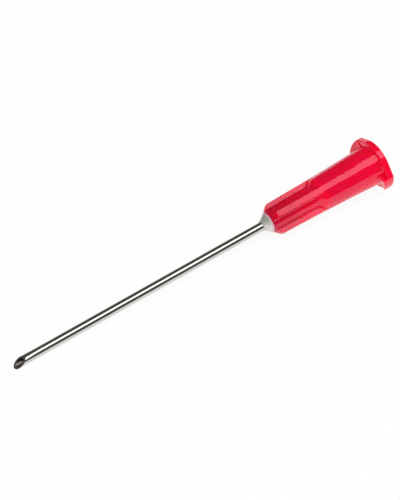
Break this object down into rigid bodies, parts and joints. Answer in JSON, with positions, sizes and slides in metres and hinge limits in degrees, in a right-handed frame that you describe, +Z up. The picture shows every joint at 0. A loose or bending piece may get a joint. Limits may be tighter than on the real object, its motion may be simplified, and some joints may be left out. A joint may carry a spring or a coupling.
{
  "type": "drawing-up needle",
  "caption": "Blunt-bevelled steel cannula bonded into a red ribbed plastic hub with a tapered socket, ring flange and lock lugs, for drawing up fluids.",
  "frame": {"origin": "on the surface the needle lies on, under the middle of its bounding box", "axes": "+X along the needle from its tip towards the syringe end, +Z up; the needle's own axis rises towards the hub"},
  "size_m": [0.057, 0.0078, 0.0067],
  "materials": {
    "hub_plastic": "glossy moulded, slightly translucent red",
    "cannula_steel": "drawn and polished stainless steel",
    "clear_bond": "clear cured resin, faintly cloudy"
  },
  "bodies": {
    "root": {"hub": "hub_plastic", "cannula": "cannula_steel", "adhesive": "clear_bond"}
  },
  "joints": []
}
